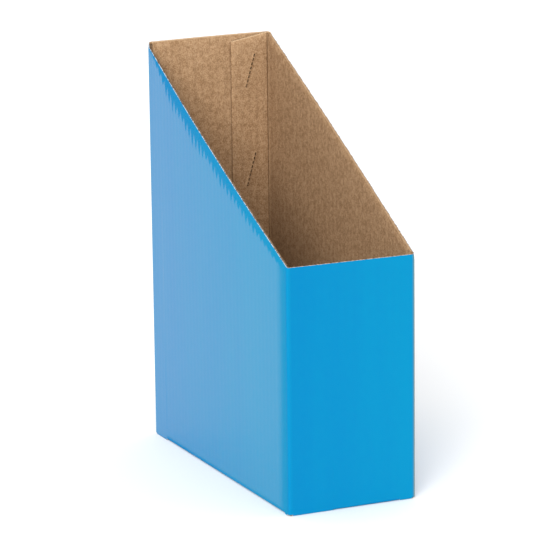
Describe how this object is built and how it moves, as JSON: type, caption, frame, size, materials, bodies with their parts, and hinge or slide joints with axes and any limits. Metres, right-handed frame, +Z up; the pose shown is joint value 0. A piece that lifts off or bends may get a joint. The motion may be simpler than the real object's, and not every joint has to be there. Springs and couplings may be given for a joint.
{
  "type": "magazine file holder",
  "caption": "Open-topped magazine file of corrugated board with a sloping top edge, an inside glue flap and a self-locking base; it folds flat for storage.",
  "frame": {"origin": "middle of the footprint, on the surface that the file stands on", "axes": "+Z up along the tall back wall, -Y to the low front wall, +X to the right seen from the front"},
  "size_m": [0.1, 0.245, 0.305],
  "materials": {
    "printed_liner": "semi-gloss blue coated paper",
    "kraft_liner": "uncoated brown kraft paper",
    "fluting": "uncoated brown fluting paper",
    "adhesive": "dried white carton adhesive"
  },
  "bodies": {
    "front_wall": {"front_wall_outer_liner": "printed_liner", "front_wall_flute": "fluting", "front_wall_inner_liner": "kraft_liner"},
    "back_wall": {"back_wall_outer_liner": "printed_liner", "back_wall_flute": "fluting", "back_wall_inner_liner": "kraft_liner", "glue_flap_outer_liner": "kraft_liner", "glue_flap_flute": "fluting", "glue_flap_inner_liner": "kraft_liner", "glue_flap_adhesive": "adhesive"},
    "left_wall": {"left_wall_outer_liner": "printed_liner", "left_wall_flute": "fluting", "left_wall_inner_liner": "kraft_liner"},
    "right_wall": {"right_wall_outer_liner": "printed_liner", "right_wall_flute": "fluting", "right_wall_inner_liner": "kraft_liner"},
    "base_flap_left": {"base_flap_left_outer_liner": "printed_liner", "base_flap_left_flute": "fluting", "base_flap_left_inner_liner": "kraft_liner"},
    "base_flap_right": {"base_flap_right_outer_liner": "printed_liner", "base_flap_right_flute": "fluting", "base_flap_right_inner_liner": "kraft_liner"},
    "base_flap_front": {"base_flap_front_outer_liner": "printed_liner", "base_flap_front_flute": "fluting", "base_flap_front_inner_liner": "kraft_liner", "glue_tab_right_outer_liner": "printed_liner", "glue_tab_right_flute": "fluting", "glue_tab_right_inner_liner": "kraft_liner", "glue_tab_right_adhesive": "adhesive"},
    "base_flap_back": {"base_flap_back_outer_liner": "printed_liner", "base_flap_back_flute": "fluting", "base_flap_back_inner_liner": "kraft_liner", "glue_tab_left_outer_liner": "printed_liner", "glue_tab_left_flute": "fluting", "glue_tab_left_inner_liner": "kraft_liner", "glue_tab_left_adhesive": "adhesive"}
  },
  "joints": [
    {"name": "front_left_crease", "type": "hinge", "parent": "front_wall", "child": "left_wall", "pos_m": [-0.05, -0.1195, 0], "axis": [0, 0, 1], "range_deg": [0, 65]},
    {"name": "front_right_crease", "type": "hinge", "parent": "front_wall", "child": "right_wall", "pos_m": [0.047, -0.1195, 0], "axis": [0, 0, 1], "range_deg": [0, 65]},
    {"name": "back_left_crease", "type": "hinge", "parent": "left_wall", "child": "back_wall", "pos_m": [-0.047, 0.1195, 0], "axis": [0, 0, 1], "range_deg": [-65, 0]},
    {"name": "base_left_crease", "type": "hinge", "parent": "left_wall", "child": "base_flap_left", "pos_m": [-0.047, 0, 0.0031], "axis": [0, -1, 0], "range_deg": [0, 87.1]},
    {"name": "base_right_crease", "type": "hinge", "parent": "right_wall", "child": "base_flap_right", "pos_m": [0.047, 0, 0.0031], "axis": [0, 1, 0], "range_deg": [0, 87.1]},
    {"name": "base_front_crease", "type": "hinge", "parent": "front_wall", "child": "base_flap_front", "pos_m": [0, -0.1194, 0.0066], "axis": [1, 0, 0], "range_deg": [0, 87.1]},
    {"name": "base_back_crease", "type": "hinge", "parent": "back_wall", "child": "base_flap_back", "pos_m": [0, 0.1194, 0.0066], "axis": [-1, 0, 0], "range_deg": [0, 87.1]}
  ],
  "couplings": [
    {"joint": "front_right_crease", "follows": "front_left_crease", "ratio": 1},
    {"joint": "back_left_crease", "follows": "front_left_crease", "ratio": -1},
    {"joint": "base_left_crease", "follows": "front_left_crease", "ratio": 1.34},
    {"joint": "base_right_crease", "follows": "front_left_crease", "ratio": 1.34},
    {"joint": "base_front_crease", "follows": "front_left_crease", "ratio": 1.34},
    {"joint": "base_back_crease", "follows": "front_left_crease", "ratio": 1.34}
  ]
}
